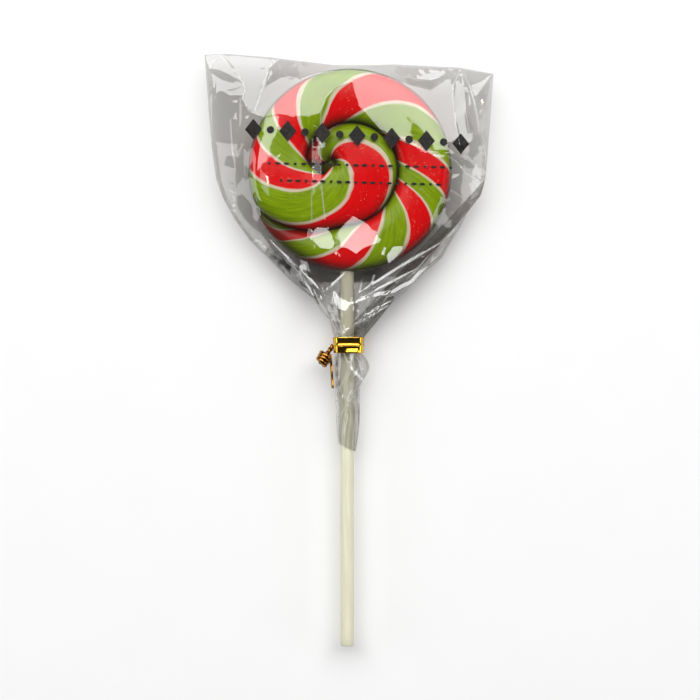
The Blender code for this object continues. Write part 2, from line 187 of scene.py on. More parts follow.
# Streaks of the gathered film, each a ridge with a step down on its far side: the step's width in
# pixels, and the ridge's points as above
STREAKS = {
    "main": (4.2, (350, 305, 6.95), (366, 299.5, 6.5), (380, 296, 5.7), (393, 294, 4.6), (402, 288.5, 4.0),
             (412, 284, 3.4), (422, 273, 3.0), (431, 264, 2.7)),
    "upper": (2.6, (358, 294, 7.0), (380, 281, 6.8), (400, 268, 5.9), (420, 256, 4.6), (441, 243, 3.0)),
    "between": (2.2, (366, 297, 6.6), (378, 290, 6.2), (392, 283, 5.4), (403, 277, 4.8), (418, 268, 3.7)),
    "low": (2.4, (346, 331, 4.6), (360, 322.5, 4.5), (376, 314, 3.7), (392, 303, 2.4)),
    "low_inner": (2.0, (352, 326, 4.8), (368, 315, 4.5), (383, 306, 3.5), (394, 299, 2.8)),
    "left_long": (2.2, (270, 240, 3.4), (286, 257, 4.2), (300, 275, 5.0), (310, 291, 5.2), (317, 303, 5.0)),
    "left_short": (1.9, (300, 270, 5.6), (312, 283, 6.0), (326, 296, 6.0)),
    "left_cross": (2.2, (345, 273, 7.4), (338, 281, 7.2), (330, 289, 6.6), (320, 301, 5.6)),
}
STREAK_SLOPE = math.tan(math.radians(19.0))
# How white the film is painted along its sharpest creases: partly whitened film, partly painted highlight
CREASE_HIGHLIGHT = {
    "left_corner": 0.3, "left_fold": 0.35, "left_curve": 0.4, "right_lens": 0.4, "right_fold": 0.3,
    "band_left": 0.22, "band_right": 0.35, "right_tuck": 0.3, "right_tuck_low": 0.3, "petal_left": 0.2,
    "flap_middle": 0.3, "crown": 0.2,
}
# Painted highlight along the streaks' ridges as white haze, and the cap on the creases' white
STREAK_HIGHLIGHT = 0.35
CREASE_HIGHLIGHT_LIMIT = 0.5
# Painted shade on the film, as extra layers where it lies folded in shade: a point in pixels, its reach in mm
# and how many more layers the light passes
PAINTED_SHADES = (
    (269, 251, 1.3, 6.0), (275, 256, 1.7, 10.0), (282, 261, 1.9, 12.0), (289, 266, 1.9, 12.0),
    (296, 270.5, 1.6, 9.0), (308, 281, 9.0, 3.2), (324, 284, 4.5, 2.2), (374, 281, 5.5, 3.4),
    (398, 287, 4.0, 1.6), (302, 292, 7.0, 3.4),
    (336.5, 364, 1.0, 2.0), (337.5, 374, 1.0, 2.5), (338.5, 384, 1.0, 2.5), (339, 393, 0.8, 2.0),
    (356, 394, 2.4, 0.8), (357, 410, 2.4, 0.8),
)
# Pleats of the front sheet into the neck: bearing and half width in degrees, height and length in mm
PLEATS = (
    (-52, 3.0, 0.7, 30), (-43, 3.4, 1.2, 44), (-36, 2.4, 1.0, 34), (-29, 3.0, 1.3, 40), (-22, 2.2, 0.9, 28),
    (-15, 2.8, 1.2, 32), (-8, 2.4, 0.9, 26), (-2, 2.2, 0.6, 22), (5, 2.6, 1.0, 28), (12, 2.4, 1.0, 36),
    (20, 2.8, 1.3, 44), (27, 2.4, 1.0, 30), (34, 2.8, 1.2, 46), (41, 2.6, 1.0, 36), (48, 3.0, 0.8, 40),
)
# Where the film is crumpled: a point in pixels, and how far it reaches and how high, in mm
CRUMPLES = (
    (458, 172, 4.0, 0.5), (478, 183, 3.5, 0.5), (239, 98, 1.8, 0.5),
    (365, 313, 3.0, 0.5), (428, 262, 4.0, 0.6),
)
# Skirt: Y, left edge, right edge and half depth, in mm
SKIRT = (
    (-60.5, -5.2, 4.2, 4.3), (-64.6, -5.2, 4.4, 4.3), (-66.6, -5.5, 6.0, 4.4), (-69.6, -5.5, 7.3, 4.5),
    (-72.4, -5.4, 6.1, 4.4), (-76.2, -5.4, 3.9, 4.2), (-82.0, -5.2, 3.7, 4.0), (-88.5, -5.0, 3.5, 3.8),
    (-94.0, -4.6, 2.9, 3.5), (-98.0, -4.2, 2.2, 3.3),
)
SKIRT_RINGS = 96
SKIRT_SIDES = 128
SKIRT_PLEATS = 9
SKIRT_GATHERED = 0.35
PUFF = (357, 372)
PUFF_REACH = 4 * MM
# Folds of the skirt's front: height and half width in mm, and points in pixels
SKIRT_FOLDS = (
    (0.25, 0.8, (353, 355), (349.5, 364), (351, 371)), (0.22, 0.95, (350.5, 369), (357, 376.5), (366, 385)),
    (0.2, 0.7, (359, 357), (364, 366), (361, 377)), (0.14, 0.6, (357, 366), (356, 373), (360, 379)),
    (0.17, 0.6, (357, 384), (350, 390), (352, 398), (349, 405)),
    (0.16, 0.6, (353, 384), (345, 394), (338, 407)), (0.14, 0.6, (361, 394), (349, 406), (341, 419)),
    (0.16, 0.6, (343, 355), (340.5, 372), (342, 392)), (0.14, 0.6, (352, 408), (347, 424), (345, 440)),
)
# Painted highlights on the skirt's front, as white marks: how white, half width in mm, and points in pixels
SKIRT_HIGHLIGHTS = (
    (0.8, 0.55, (353.3, 354.5), (350.6, 362), (352, 369), (356.7, 373.6), (361.4, 378.5)),
    (0.9, 0.6, (355.5, 373), (359, 376.5), (363, 380)), (0.5, 0.45, (359.4, 364), (361, 370), (362, 376)),
    (0.7, 0.7, (351.5, 390), (349, 395), (347.5, 400)), (0.35, 0.45, (353, 395), (346, 406), (339, 417)),
    (0.35, 0.45, (347, 372), (340, 388), (335, 405)),
)

# Twist tie
TIE_WIDTH = NECK_HALF_WIDTH + 0.3 * MM
TIE_DEPTH = NECK_HALF_DEPTH + 0.3 * MM
# Down the wraps: Y, how far out, and how much further out at the bright patch, in mm
TIE_PROFILE = (
    (-59.0, 0.0, 0), (-59.0, 0.5, 0), (-59.05, 0.6, 0), (-59.12, 0.63, 0), (-59.3, 0.62, 0),
    (-60.2, 0.56, 0), (-60.9, 0.51, 0), (-61.02, 0.49, 0), (-61.1, 0.36, 0), (-61.16, 0.37, 0),
    (-61.25, 0.46, 0), (-61.5, 0.55, 0), (-61.75, 0.63, 0), (-61.95, 0.66, 0), (-62.03, 0.62, 0),
    (-62.08, 0.42, 0), (-62.2, 0.44, 0), (-62.35, 0.45, 0), (-62.75, 0.42, 0), (-62.95, 0.41, 0),
    (-63.1, 0.41, 0.02), (-63.4, 0.41, 0.1), (-63.8, 0.4, 0.2), (-64.1, 0.39, 0.27), (-64.3, 0.38, 0.29),
    (-64.45, 0.36, 0.2), (-64.55, 0.3, 0), (-64.6, 0.0, 0),
)
TIE_FLATNESS = 0.55
TIE_GLEAM = (-1.5 * MM, 3.3 * MM)
TIE_FADE = 0.9 * MM
TIE_SIDES = 96
STEM_FROM = Vector((-6.1, -62.0, 0.6)) * MM
STEM_TO = Vector((-10.4, -68.3, 2.0)) * MM
STEM_TWISTS = 2.5
STRAND_OFFSET = 0.42 * MM
STRAND_RADIUS = 0.48 * MM
CURL_RADIUS = 2.1 * MM
CURL_TURNS = 2.6
CURL_THICKNESS = 0.8 * MM
TAIL_TOP = Vector((-6.9, -65.2, 0.6)) * MM
TAIL_BOTTOM = Vector((-6.1, -77.0, 0.8)) * MM
TAIL_THICKNESS = 0.55 * MM
TAIL_STEPS = 30

# Print: a border of diamonds and dots, and two rows of dashes, in pixels
BORDER_START = (254, 130.5)
BORDER_RUN = (206, 14.5)
BORDER_MARKS = 13
DOT_SIZE = 7.5
DIAMOND_SIZE = (17, 21)
DASH_ROWS = ((165, 270, 450, 22), (182, 282, 438, 20))
DASH_LEAN = math.radians(-1.5)
DASH_DROP = 4.0
PRINT_STEP = 0.8 * MM
PRINT_GAP = 0.05 * MM

# Studio: each light's place, the point it faces, width and height in metres, power in watts and colour
WHITE = (1.0, 1.0, 1.0)
WARM = (1.0, 0.88, 0.66)
WINDOW_AWAY = 2.2
WINDOW_LEAN = math.radians(35)
WINDOW_PLACE = (0.0, WINDOW_AWAY * math.sin(WINDOW_LEAN), WINDOW_AWAY * math.cos(WINDOW_LEAN))
LIGHTS = {
    "window_far": (WINDOW_PLACE, (0.0, 0.0, 0.0), 3.72, 2.0, 88.0, WHITE),
    "screen_left": ((-0.41, 0.10, 1.2), (0.0, 0.0, 0.0), 0.16, 0.34, 0.26, WHITE),
    "board_left": ((-1.15, -0.1, 0.5), (0.0, -0.06, 0.0), 0.9, 0.44, 2.6, WHITE),
    "board_right": ((1.15, -0.1, 0.5), (0.0, -0.06, 0.0), 0.9, 0.44, 2.6, WHITE),
    "tube_left": ((-0.24, 0.12, 1.2), (0.0, 0.0, 0.0), 0.016, 0.05, 0.06, WARM),
}
ROOM_LIGHT = 0.03
CAMERA_PLACE = (0.0, -63.5 * MM, 0.609)
CAMERA_LENS = 87.4
SENSOR_WIDTH = 36.0


def spot(across, down, height=0.0):
    """The place of a point in pixels, with a height over the middle in mm."""
    x = (across - HEAD_PIXEL[0]) * PIXEL
    y = (HEAD_PIXEL[1] - down) * PIXEL
    return Vector((x, y, MIDDLE_Z + height * MM))


def traced(points):
    """The places of points in pixels, seen from above."""
    return [spot(*point).xy for point in points]


def eased(share):
    """0 to 1 with a level start and end."""
    share = max(0.0, min(1.0, share))
    return share * share * (3.0 - 2.0 * share)


def between(rows, at):
    """The columns after the first, read from a smooth curve through the rows at a value of the first."""
    at = max(rows[0][0], min(rows[-1][0], at))
    last = len(rows) - 1
    i = max(k for k in range(last) if rows[k][0] <= at)
    span = rows[i + 1][0] - rows[i][0]
    share = (at - rows[i][0]) / span

    def slope(k, column):
        low, high = max(k - 1, 0), min(k + 1, last)
        return (rows[high][column] - rows[low][column]) / (rows[high][0] - rows[low][0])

    values = []
    for column in range(1, len(rows[0])):
        start, end = rows[i][column], rows[i + 1][column]
        values.append(
            start * (1 + 2 * share) * (1 - share) ** 2
            + end * (3 - 2 * share) * share**2
            + slope(i, column) * span * share * (1 - share) ** 2
            - slope(i + 1, column) * span * (1 - share) * share**2
        )
    return values


def facing(angle):
    """The direction at an angle in degrees."""
    turn = math.radians(angle)
    return Vector((math.cos(turn), math.sin(turn), 0.0))


def add_piece(name, work, look, smooth=True):
    """A finished piece from its bmesh, riding on the lollipop."""
    bmesh.ops.recalc_face_normals(work, faces=work.faces)
    mesh = bpy.data.meshes.new(name)
    work.to_mesh(mesh)
    work.free()
    for face in mesh.polygons:
        face.use_smooth = smooth
    mesh.materials.append(look)
    piece = bpy.data.objects.new(name, mesh)
    bpy.context.scene.collection.objects.link(piece)
    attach(piece, "root")
    return piece


def ring_of(work, points):
    """A closed loop of edges through points."""
    corners = [work.verts.new(point) for point in points]
    return [work.edges.new((a, b)) for a, b in zip(corners, corners[1:] + corners[:1])]


def skin(work, loops):
    """Lays faces between each loop of edges and the next."""
    for first, second in zip(loops, loops[1:]):
        bmesh.ops.bridge_loops(work, edges=first + second)


def cap(work, loops):
    """Closes the first and the last loop."""
    bmesh.ops.holes_fill(work, edges=loops[0] + loops[-1], sides=0)


# Materials


def paint(red, green, blue):
    """A colour of a printed swatch, 0 to 255, as light."""
    parts = [c / 255 for c in (red, green, blue)]
    return tuple(c / 12.92 if c <= 0.04045 else ((c + 0.055) / 1.055) ** 2.4 for c in parts) + (1.0,)


class Recipe:
    """A material's nodes, added one after another."""

    def __init__(self, name):
        self.material = bpy.data.materials.new(name)
        self.material.use_nodes = True
        self.tree = self.material.node_tree
        self.tree.nodes.clear()
        self.output = self.tree.nodes.new("ShaderNodeOutputMaterial")

    def node(self, kind, settings=None, **inputs):
        made = self.tree.nodes.new("ShaderNode" + kind)
        for key, value in (settings or {}).items():
            setattr(made, key, value)
        for key, value in inputs.items():
            socket = made.inputs[int(key[1:])] if key[0] == "i" and key[1:].isdigit() else made.inputs[key]
            if isinstance(value, bpy.types.NodeSocket):
                self.tree.links.new(value, socket)
            else:
                socket.default_value = value
        return made

    def maths(self, operation, *values):
        inputs = {f"i{i}": value for i, value in enumerate(values)}
        return self.node("Math", {"operation": operation}, **inputs).outputs[0]

    def blend(self, share, first, second):
        made = self.node("Mix", {"data_type": "RGBA"}, i0=share, i6=first, i7=second)
        return made.outputs[2]

    def ranged(self, value, low, high, to_low=0.0, to_high=1.0, kind="SMOOTHSTEP"):
        made = self.node("MapRange", {"interpolation_type": kind}, Value=value)
        made.inputs[1].default_value, made.inputs[2].default_value = low, high
        made.inputs[3].default_value, made.inputs[4].default_value = to_low, to_high
        return made.outputs[0]

    def place(self):
        return self.node("TexCoord").outputs["Object"]

    def part(self, vector, axis):
        return self.node("SeparateXYZ", Vector=vector).outputs[axis]

    def drawn_out(self, vector, scale):
        return self.node("Mapping", Vector=vector, Scale=scale).outputs[0]

    def grain(self, vector, scale, detail, roughness=0.5):
        made = self.node("TexNoise", Vector=vector, Scale=scale, Detail=detail, Roughness=roughness)
        return made.outputs[0]

    def relief(self, height, strength, distance):
        return self.node("Bump", Strength=strength, Distance=distance, Height=height).outputs[0]

    def carried(self, name):
        """A value that the piece's own verts carry."""
        return self.node("Attribute", {"attribute_name": name}).outputs["Fac"]

    def finish(self, shader):
        self.tree.links.new(shader, self.output.inputs["Surface"])
        return self.material


def candy_look():
    """Pulled hard candy: red and green quarters with a cream line between them, drawn out in fine streaks,
    with painted sparkles and painted shade low on the rope.
    """
    r = Recipe("striped_candy")
    uv = r.node("UVMap", {"uv_map": "stripes"}).outputs[0]
    split = r.node("SeparateXYZ", Vector=uv)
    turn = r.maths("MULTIPLY", split.outputs[0], 2 * math.pi)
    wide = r.maths("COSINE", turn)
    deep = r.maths("SINE", turn)
    rope = r.node("CombineXYZ", X=wide, Y=deep, Z=split.outputs[1]).outputs[0]
    waver = r.grain(rope, 2.2, 2.0)
    fine = r.node("CombineXYZ", X=wide, Y=deep, Z=r.maths("MULTIPLY", split.outputs[1], 0.22)).outputs[0]
    streaks = r.grain(fine, 19.0, 5.0, 0.62)
    drift = r.ranged(waver, 0.3, 0.7, -0.045, 0.045, "LINEAR")
    phase = r.maths("ADD", r.maths("MULTIPLY", split.outputs[0], 4.0), drift)
    quarter = r.maths("FLOORED_MODULO", phase, 2.0)
    is_red = r.maths("GREATER_THAN", quarter, 1.0)
    off = r.maths("ABSOLUTE", r.maths("SUBTRACT", r.maths("FRACT", r.maths("ADD", phase, 0.5)), 0.5))
    line = r.ranged(off, 0.032, 0.088, 1.0, 0.0)
    tone = r.ranged(streaks, 0.32, 0.68)
    red = r.blend(tone, paint(236, 0, 6), paint(255, 8, 18))
    green = r.blend(tone, paint(122, 156, 0), paint(160, 192, 4))
    cream = r.blend(tone, paint(222, 206, 176), paint(244, 230, 206))
    colour = r.blend(line, r.blend(is_red, green, red), cream)
    # Painted sparkles: small warm bright specks, in clusters, standing in for glints on the candy
    painted_sparkles = r.ranged(r.grain(rope, 34.0, 0.0), 0.76, 0.80)
    sparkle_swarms = r.ranged(r.grain(rope, 1.7, 1.0), 0.48, 0.58, 0.0, 0.8)
    colour = r.blend(r.maths("MULTIPLY", painted_sparkles, sparkle_swarms), colour, paint(255, 206, 160))
    height = r.part(r.place(), 2)
    # Painted shade: the colour darkens towards dark brown lower on the rope, in its grooves and on its sides
    painted_low_shade = r.ranged(height, 10.6 * MM, 14.1 * MM, 0.95, 0.0)
    colour = r.blend(painted_low_shade, colour, r.blend(0.85, colour, paint(44, 24, 6)))
    bump = r.relief(streaks, 0.25, 0.0002)
    candy = r.node("BsdfPrincipled", **{"Base Color": colour, "Normal": bump, "Roughness": 0.12,
                                        "Specular IOR Level": 0.22})
    return r.finish(candy.outputs[0])


def paper_look():
    """Rolled white paper with fibres along the stick."""
    r = Recipe("rolled_paper")
    where = r.place()
    long = r.drawn_out(where, (900.0, 60.0, 900.0))
    fibres = r.grain(long, 1.0, 6.0, 0.65)
    spread = r.drawn_out(where, (60.0, 22.0, 60.0))
    patches = r.grain(spread, 1.0, 3.0)
    colour = r.blend(r.ranged(fibres, 0.3, 0.7), paint(220, 218, 191), paint(237, 236, 213))
    colour = r.blend(r.ranged(patches, 0.35, 0.75, 0.0, 0.35), colour, paint(210, 204, 174))
    bump = r.relief(fibres, 0.5, 0.00006)
    paper = r.node("BsdfPrincipled", **{"Base Color": colour, "Normal": bump, "Roughness": 0.62,
                                        "Specular IOR Level": 0.3})
    return r.finish(paper.outputs[0])


def film_look():
    """Clear film: it dims what is behind it a little, more where shade is painted in, and mirrors the lights,
    with fine creases at the gathers and white haze that is partly crushed film, partly painted highlight."""
    r = Recipe("clear_film")
    layers = r.carried("layers")
    gathered = r.carried("gathered")
    where = r.place()
    gathers = r.node("UVMap", {"uv_map": "gathers"}).outputs[0]
    drawn = r.drawn_out(gathers, (13.0, 0.3, 1.0))
    lines = r.node("TexNoise", {"noise_type": "RIDGED_MULTIFRACTAL"}, Vector=drawn, Scale=1.0, Detail=2.0,
                   Roughness=0.5, Lacunarity=2.2).outputs[0]
    ripples = r.grain(where, 120.0, 2.0, 0.4)
    drawn_in = r.maths("MULTIPLY", r.maths("POWER", gathered, 2.0), 0.42)
    height = r.maths("ADD", r.maths("MULTIPLY", lines, drawn_in), r.maths("MULTIPLY", ripples, 0.05))
    bump = r.relief(height, 1.0, 0.00022)
    clear = r.maths("POWER", 0.865, layers)
    through = r.node("CombineColor", Red=clear, Green=r.maths("MULTIPLY", clear, 0.992),
                     Blue=r.maths("MULTIPLY", clear, 0.98)).outputs[0]
    transparent = r.node("BsdfTransparent", Color=through).outputs[0]
    gloss = r.node("BsdfGlossy", Color=(1.0, 1.0, 1.0, 1.0), Roughness=0.03, Normal=bump).outputs[0]
    edge = r.node("LayerWeight", Blend=0.5, Normal=bump).outputs["Facing"]
    level = r.maths("ADD", r.maths("MULTIPLY", gathered, 0.08), 0.085)
    mirror = r.maths("ADD", r.maths("MULTIPLY", r.maths("POWER", edge, 5.0), 0.4), level)
    film = r.node("MixShader", i0=mirror, i1=transparent, i2=gloss).outputs[0]
    haze = r.node("BsdfDiffuse", Color=(0.9, 0.9, 0.88, 1.0)).outputs[0]
    # White haze: partly whitened film, partly painted highlight along creases, streaks and the skirt
    whitened_and_highlight = r.carried("whitened_and_highlight")
    hazy = r.maths("ADD", r.maths("MULTIPLY", whitened_and_highlight, 0.8), 0.003)
    return r.finish(r.node("MixShader", i0=hazy, i1=film, i2=haze).outputs[0])


def ink_look():
    """Dark printing ink with a soft sheen."""
    r = Recipe("printing_ink")
    where = r.place()
    grain = r.grain(where, 900.0, 3.0)
    colour = r.blend(r.ranged(grain, 0.35, 0.7), paint(24, 20, 18), paint(44, 40, 36))
    ink = r.node("BsdfPrincipled", **{"Base Color": colour, "Roughness": 0.5, "Specular IOR Level": 0.2})
    return r.finish(ink.outputs[0])


def gold_look():
    """Thin gold ribbon, lightly rolled and scuffed."""
    r = Recipe("gold_ribbon")
    where = r.place()
    long = r.drawn_out(where, (300.0, 1500.0, 300.0))
    rolled = r.grain(long, 1.0, 3.0)
    worn = r.grain(where, 420.0, 4.0)
    colour = r.blend(r.ranged(worn, 0.35, 0.7), paint(238, 200, 60), paint(220, 160, 60))
    across = r.part(where, 0)
    twisted = r.ranged(across, -6.9 * MM, -6.0 * MM, 1.0, 0.0)
    colour = r.blend(twisted, colour, r.blend(worn, paint(102, 74, 26), paint(166, 132, 54)))
    away = r.maths("ABSOLUTE", r.maths("SUBTRACT", across, NECK_X))
    colour = r.blend(r.ranged(away, 4.7 * MM, 5.3 * MM, 0.0, 0.8), colour, paint(158, 106, 44))
    bump = r.relief(rolled, 0.08, 0.00003)
    gold = r.node("BsdfPrincipled", **{"Base Color": colour, "Normal": bump, "Roughness": 0.07,
                                       "Metallic": 1.0})
    return r.finish(gold.outputs[0])


def table_look():
    """Pale matt table top."""
    r = Recipe("pale_table")
    where = r.place()
    grain = r.grain(where, 40.0, 2.0)
    colour = r.blend(grain, (0.90, 0.90, 0.90, 1.0), (0.92, 0.92, 0.92, 1.0))
    top = r.node("BsdfPrincipled", **{"Base Color": colour, "Roughness": 0.9, "Specular IOR Level": 0.1})
    return r.finish(top.outputs[0])


# Candy head


def pressed(height):
    """A height above or below the middle, as the press leaves it."""
    limit = FRONT_HEIGHT if height > 0 else BACK_HEIGHT
    squeezed = abs(height) / (1.0 + (abs(height) / limit) ** PRESS_SHARPNESS) ** (1 / PRESS_SHARPNESS)
    return math.copysign(squeezed, height)


def rope_section(angle):
    """Middle, half width and direction across the rope where it has wound to an angle."""
    across = facing(angle)
    outer = between(WINDING, angle)[0] * across
    if angle < FOLDING[0][0]:
        reach = between(WINDING, angle + 360.0)[0] - ROPE_OVERLAP
    else:
        reach = between(FOLDING, angle)[0]
    pole = HEART * eased((angle - POLE_FROM_DEG) / (POLE_TO_DEG - POLE_FROM_DEG))
    inner = pole + reach * across
    tip = min(1.0, (COIL_END_DEG - angle + 1.4) / TIP_DEG)
    half = (outer - inner).length / 2 * math.sqrt(1.0 - (1.0 - tip) ** 2)
    return (outer + inner) / 2, half, (outer - inner).normalized()


def make_candy(look):
    """The candy head: one rope, wound and pressed, with the stripes laid along it."""
    work = bmesh.new()
    stripes = work.loops.layers.uv.new("stripes")
    loops, lines, runs = [], [], []
    run = 0.0
    before = None
    for i in range(ROPE_SECTIONS + 1):
        angle = COIL_START_DEG + (COIL_END_DEG - COIL_START_DEG) * i / ROPE_SECTIONS
        middle, half, across = rope_section(angle)
        run += (middle - before).length if before else 0.0
        before = middle
        points = []
        for j in range(ROPE_SIDES):
            turn = 2 * math.pi * j / ROPE_SIDES
            point = middle + across * half * math.cos(turn)
            point.z = MIDDLE_Z + pressed(half * math.sin(turn))
            points.append(point)
        loops.append(ring_of(work, points))
        lines.append(between(STRIPE_CROSSINGS, angle)[0])
        runs.append(run)
    skin(work, loops)
    work.verts.index_update()
    for face in work.faces:
        places = [divmod(loop.vert.index, ROPE_SIDES) for loop in face.loops]
        seam = max(j for i, j in places) - min(j for i, j in places) > ROPE_SIDES / 2
        for loop, (i, j) in zip(face.loops, places):
            side = j + ROPE_SIDES if seam and j < ROPE_SIDES / 2 else j
            loop[stripes].uv = ((lines[i] + 1.0 - 4.0 * side / ROPE_SIDES) / 4.0, runs[i] / (20 * MM))
    cap(work, loops)
    plug = bmesh.ops.create_cone(
        work, cap_ends=True, segments=24, radius1=CORE_RADIUS, radius2=CORE_RADIUS,
        depth=2 * CORE_HALF_HEIGHT, matrix=Matrix.Translation(CORE + UP * MIDDLE_Z))
    for face in {face for vert in plug["verts"] for face in vert.link_faces}:
        for loop in face.loops:
            loop[stripes].uv = (0.125, 0.0)
    candy = add_piece("striped_candy", work, look)
    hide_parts("candy_head")
    return candy


# Stick


def make_stick(look):
    """A paper stick: its sheet rolled up, with the loose edge as a fine step along it."""
    work = bmesh.new()
    sides = 72
    steps = 40
    bevel = 0.35 * MM
    lap_height = 0.035 * MM
    rows = [(STICK_TOP_Y, 0.9), (STICK_TOP_Y - bevel, 1.0)]
    rows += [(STICK_TOP_Y + (STICK_END_Y - STICK_TOP_Y) * i / steps, 1.0) for i in range(1, steps)]
    rows += [(STICK_END_Y + bevel, 1.0), (STICK_END_Y + bevel * 0.3, 0.96), (STICK_END_Y, 0.86)]
    rows += [(STICK_END_Y + 0.1 * MM, 0.7), (STICK_END_Y + 0.05 * MM, 0.5), (STICK_END_Y + 0.5 * MM, 0.16)]
    loops = []
    for y, wide in rows:
        points = []
        for j in range(sides):
            lap = lap_height * (1.0 - j / sides) if 0 < j else 0.0
            reach = (STICK_RADIUS - lap_height + lap) * wide
            turn = 2 * math.pi * j / sides + 0.9
            points.append(Vector((STICK_X + reach * math.cos(turn), y, MIDDLE_Z + reach * math.sin(turn))))
        loops.append(ring_of(work, points))
    skin(work, loops)
    cap(work, loops)
    stick = add_piece("paper_stick", work, look)
    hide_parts("stick")
    return stick


# Bag


def surface_of(*objects):
    """The trees of pieces, to find how high they stand at a place."""
    graph = bpy.context.evaluated_depsgraph_get()
    return [BVHTree.FromObject(obj, graph) for obj in objects]


def surface_at(trees, place, side):
    """The top (side 1) or underside (side -1) of the pieces at a place, or None beside them."""
    found = [tree.ray_cast(Vector((place.x, place.y, 0.1 * side)), UP * -side)[0] for tree in trees]
    found = [side * hit.z for hit in found if hit]
    return side * max(found) if found else None


def front_points():
    """Heights of the front sheet away from its creases: over the head and at its rim."""
    points = [spot(350, 170, 7.7), spot(380, 175, 7.7), spot(290, 165, 7.5), spot(300, 200, 7.5)]
    points.append(spot(350, 200, 7.7))
    for i in range(24):
        middle = facing(i * 15.0 + 7.0)
        points.append(middle * 33.2 * MM + UP * (MIDDLE_Z + 6.25 * MM))
        if i % 2:
            points.append(middle * 26.5 * MM + UP * (MIDDLE_Z + 7.45 * MM))
    return points


def back_points():
    """The back sheet: flat on the table under the head, then rising to the seams."""
    points = [Vector((0.0, 0.0, 0.0))]
    for i in range(24):
        points.append(facing(i * 15.0) * 25.0 * MM)
        points.append(facing(i * 15.0 + 7.5) * 33.4 * MM + UP * 0.9 * MM)
    return points + [Vector(point) * MM for point in BACK_RISE]


def neck_arch(side):
    """Half of the gathered neck from left to right: 1 for the front, -1 for the back."""
    points = []
    for i in range(1, 12):
        turn = math.pi * (1.0 - i / 12)
        points.append(Vector((NECK_X + NECK_HALF_WIDTH * math.cos(turn), NECK_SEAM_Y,
                              MIDDLE_Z + side * NECK_HALF_DEPTH * math.sin(turn))))
    return points


def lay_sheet(work, outline, arch, creases, loose):
    """Cuts a sheet on its outline and folds it at its creases, each with the height of its pinch."""
    pinched = film_values(work)[3]
    rim = list(outline) + list(reversed(arch))
    points = list(rim)
    edges = [(i, (i + 1) % len(rim)) for i in range(len(rim))]
    folds = set()

    def number(point):
        for i, other in enumerate(points):
            if (other.xy - point.xy).length < 0.4 * MM:
                return i
        points.append(point)
        return len(points) - 1

    pinches = {}
    for pinch, line in creases:
        places = [number(point) for point in line]
        for place in places:
            pinches[place] = max(pinch, pinches.get(place, 0.0))
        for pair in zip(places, places[1:]):
            if pair[0] != pair[1]:
                edges.append(pair)
                folds.add(frozenset(pair))
    for point in loose:
        if min((point.xy - other.xy).length for other in points) > 2.5 * MM:
            points.append(point)
    flat, lines, faces, from_points, from_edges = delaunay_2d_cdt(
        [point.xy for point in points], edges, [list(range(len(rim)))], 1, 1e-7)[:5]
    corners = []
    for place, origin in zip(flat, from_points):
        if origin:
            height = points[origin[0]].z
        else:
            near = sorted(points, key=lambda p: (p.xy - place).length)[:3]
            height = sum(p.z for p in near) / 3
        corner = work.verts.new((place.x, place.y, height))
        corner[pinched] = pinches.get(origin[0], 0.0) if origin else 0.0
        corners.append(corner)
    made = [work.faces.new([corners[i] for i in face]) for face in faces]
    for line, origin in zip(lines, from_edges):
        if any(frozenset(edges[k]) in folds for k in origin if k < len(edges)):
            edge = work.edges.get([corners[i] for i in line])
            if edge:
                edge.smooth = False
    return made


def clear_of(trees, verts, side):
    """Keeps the film off what is in the bag, inside the bag's own depth and off the table."""
    if side > 0:
        low, high = MIDDLE_Z + 0.05 * MM, CAD_BOX[1].z - 0.01 * MM
    else:
        low, high = 0.02 * MM, MIDDLE_Z - 0.05 * MM
    for vert in verts:
        met = surface_at(trees, vert.co, side)
        if met is not None:
            vert.co.z = side * max(side * vert.co.z, side * met + CANDY_ROOM)
        vert.co.z = max(low, min(vert.co.z, high))


def streak_foot(ridge, wide):
    """The foot of a streak's step: beyond its ridge and lower, closing at both ends."""
    foot = []
    last = len(ridge) - 1
    for i, (across, down, height) in enumerate(ridge):
        before, after = ridge[max(i - 1, 0)], ridge[min(i + 1, last)]
        aside = Vector((after[1] - before[1], before[0] - after[0])).normalized()
        if aside.y > 0:
            aside = -aside
        if i in (0, last):
            aside, fall = Vector((0.0, 0.0)), 0.0
        else:
            fall = wide * PIXEL / MM * STREAK_SLOPE
        foot.append(spot(across + aside.x * wide, down + aside.y * wide, height - fall))
    return foot


def fold_lift(place, folds):
    """How much folds or marks along lines add at a place: most on the line, nothing at its half width."""
    lift = 0.0
    for high, wide, points in folds:
        off = wide
        for start, end in zip(points, points[1:]):
            along = end - start
            share = max(0.0, min(1.0, (place - start).dot(along) / along.length_squared))
            off = min(off, (place - start - along * share).length)
        lift += high * (1.0 - off / wide)
    return lift


def folded_verts(work):
    """The verts along the creases."""
    return {vert for edge in work.edges if not edge.smooth for vert in edge.verts}


def pleat_height(bearing, away):
    """How far the pleats that run into the neck lift the film at a bearing and distance from it."""
    lift = 0.0
    for middle, wide, high, long in PLEATS:
        share = 1.0 - away / (long * MM)
        if share <= 0:
            continue
        drift = 2.2 * noise.noise(Vector((middle, away * 55, 1.0)))
        off = abs(math.degrees(bearing) - middle - drift) / (wide * (0.65 + 6 * MM / (away + 5 * MM)))
        if off < 1.0:
            lift += high * MM * (1.0 - off) * eased(share * 1.6)
    return lift


def film_values(work):
    """The values that each vert of the film carries for its look and its folds."""
    return [work.verts.layers.float[name] for name in FILM_VALUES]


def sheets_of(work):
    """The verts of the front and back sheets, without the rim that joins them."""
    rim = {vert for vert in work.verts if abs(vert.co.z - MIDDLE_Z) < RIM_TOLERANCE or vert.is_boundary}
    front = [vert for vert in work.verts if vert.co.z > MIDDLE_Z and vert not in rim]
    back = [vert for vert in work.verts if vert.co.z < MIDDLE_Z and vert not in rim]
    return front, back


